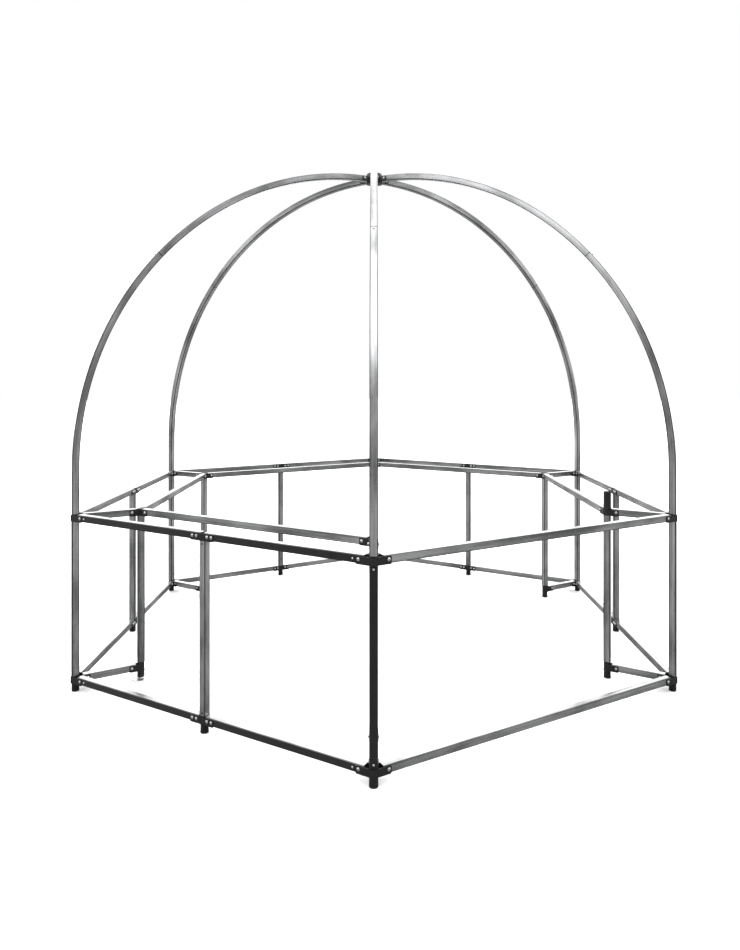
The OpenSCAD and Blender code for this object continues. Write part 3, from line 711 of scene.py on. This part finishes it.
disc = lathed([(0, 0.0), (DISC_R - 0.0008, 0.0), (DISC_R, 0.0008), (DISC_R, DISC_T - 0.0010),
               (DISC_R - 0.0010, DISC_T), (0.0560, DISC_T), (0.0552, DISC_T - 0.0003),
               (0.0544, DISC_T), (0.0230, DISC_T), (0.0220, DISC_T + 0.0024),
               (0.0205, DISC_T + 0.0034), (0, DISC_T + 0.0034)], 96)
fitted("round_base_plate", copies(disc, [DISC_PLACE]), turned_aluminium(), "base_plate",
       "base_plate")
disc_screw = lathed([(0, -0.0020), (0.0048, -0.0001), (0.0048, 0.0003), (0.0040, 0.0010),
                     (0.0018, 0.0012), (0.0015, 0.0002), (0, 0.0)], 20)
DISC_SCREW_PLACES = [DISC_PLACE @ turned(120 * n + 30) @ moved(DISC_SCREW_R, 0, DISC_T)
                     for n in range(3)]
fitted("base_plate_screws", copies(disc_screw, DISC_SCREW_PLACES), zinc_plate, "fastener")

# Pole socket. A black steel sleeve on the inner bracket beside the entrance, with a weld at
# its foot. It holds a short round pole.
POLE_BEAD_R, POLE_BEAD_Z = 0.0226, COUNTER_Z + HALF_TUBE + 0.0012
coat("pole_socket", bracket_coat)
fitted("socket_weld_bead", copies(bead(POLE_BEAD_R, POLE_BEAD_Z), [INNER_SPOTS[1]]),
       bracket_coat, "black_steel")

# Hub. A black body that the arches end in: a hexagonal block with rounded edges, two ears
# for each arch, and a round cap plate with a bolt through it.
HUB_UP, HUB_DOWN = 0.032, 0.030
EAR_LONG, EAR_TALL = 0.0650, 0.030
EAR_MIDDLE = HUB_BOLT_X - 0.0125


def hub_coat():
    p = Pattern("hub_coat")
    cast = p.noise(p.place, 330.0, 5.0, 0.65)
    rub = p.noise(p.place, 60.0, 5.0, 0.7)
    tone = p.ramp(rub, (0.30, 0.012), (0.52, 0.025), (0.72, 0.08))
    relief = p.bump(cast, 0.45, 0.0006)
    return p.finish(tone, p.spread(rub, 0.55, 0.34), relief, Metallic=0.0,
                    Specular_IOR_Level=0.5)


hub_paint = hub_coat()
hub = bmesh.new()
add_hexagon(hub, HUB_R / cos(pi / 6), HUB_UP + HUB_DOWN, (HUB_UP - HUB_DOWN) / 2)
bmesh.ops.bevel(hub, geom=hub.edges[:], offset=0.003, segments=3, profile=0.5,
                affect="EDGES", material=-1)
ear = bmesh.new()
bmesh.ops.create_cube(ear, size=1.0, matrix=moved(EAR_MIDDLE, PLATE_IN + PLATE_T / 2)
                      @ Matrix.Diagonal((EAR_LONG, PLATE_T, EAR_TALL, 1)))
tips = [e for e in ear.edges if all(v.co.x > HUB_BOLT_X for v in e.verts)
        and abs(e.verts[0].co.y - e.verts[1].co.y) > 0.001]
bmesh.ops.bevel(ear, geom=tips, offset=0.011, segments=6, profile=0.5, affect="EDGES",
                material=-1)
bmesh.ops.bevel(ear, geom=[e for e in ear.edges if e.calc_face_angle(0) > 1.2], offset=0.0005,
                segments=1, profile=0.5, affect="EDGES", material=-1)
EARS = [turned(60 * k - 90) @ side for k in CORNERS
        for side in (Matrix.Identity(4), Matrix.Scale(-1, 4, (0, 1, 0)))]
joined(hub, copies(ear, EARS))
bmesh.ops.translate(hub, verts=hub.verts, vec=(0, 0, APEX_Z))
bmesh.ops.recalc_face_normals(hub, faces=hub.faces)
fitted("hub_casting", hub, hub_paint, "hub_black", "hub_body")

cap = lathed([(0.0062, 0.0), (HUB_R - 0.0012, 0.0), (HUB_R, 0.0012),
              (HUB_R, 0.0072), (HUB_R - 0.0008, 0.0092), (HUB_R - 0.0030, 0.0100),
              (0.0420, 0.0100), (0.0410, 0.0088), (0.0390, 0.0088), (0.0380, 0.0100),
              (0.0062, 0.0100), (0.0062, 0.0)], 96)
fitted("hub_cap_plate", copies(cap, [moved(z=APEX_Z + HUB_UP)]), hub_paint, "hub_black",
       "hub_cap")

nut = bmesh.new()
add_hexagon(nut, 0.0105, 0.0050, APEX_Z + HUB_UP + 0.0125)
add_hexagon(nut, 0.0105, 0.0080, APEX_Z - HUB_DOWN - 0.0070)
chamfer_ends(nut, 0.0010)
for lathe in ([(0, -HUB_DOWN), (0.0212, -HUB_DOWN), (0.0220, -HUB_DOWN - 0.0008),
               (0.0220, -HUB_DOWN - 0.0022), (0.0212, -HUB_DOWN - 0.0030),
               (0, -HUB_DOWN - 0.0030)],
              [(0, -HUB_DOWN - 0.0120), (0.0052, -HUB_DOWN - 0.0120),
               (0.0060, -HUB_DOWN - 0.0112), (0.0060, -HUB_DOWN + 0.0010),
               (0, -HUB_DOWN + 0.0010)]):
    joined(nut, lathed(lathe, 32), moved(z=APEX_Z))
fitted("hub_through_bolt", nut, zinc_plate, "fastener", "hub_bolt")

# Snap buttons. A round steel button with a domed tip stands out of the lower arch tube just
# under each seam; a leaf clip inside the tube pushes it out, and pressing it frees the joint.
BUTTON_BELOW_SEAM = 0.018
BUTTON_DEG = SEAM_DEG - degrees(BUTTON_BELOW_SEAM / ARCH_BEND)
button_steel = plated("button_steel", 0.34, 0.30)
coat("button_springs", button_steel)
for k in CORNERS:
    button = lathed([(0, 0.0118), (0.0070, 0.0118), (0.0070, 0.0132), (0.0045, 0.0132),
                     (0.0045, 0.0218), (0.0042, 0.0228), (0.0034, 0.0235),
                     (0.0020, 0.0239), (0, 0.0240)], 32)
    place = (turned(60 * k - 90)
             @ moved(ARCH_CENTRE_R + ARCH_BEND * cos(radians(BUTTON_DEG)), 0,
                     ARCH_CENTRE_Z + ARCH_BEND * sin(radians(BUTTON_DEG)))
             @ Matrix.Rotation(radians(90 - BUTTON_DEG), 4, "Y"))
    fitted("button_%d" % k, copies(button, [place]), button_steel, "button_steel",
           "snap_button_%d" % k, body="snap_button_%d" % k)
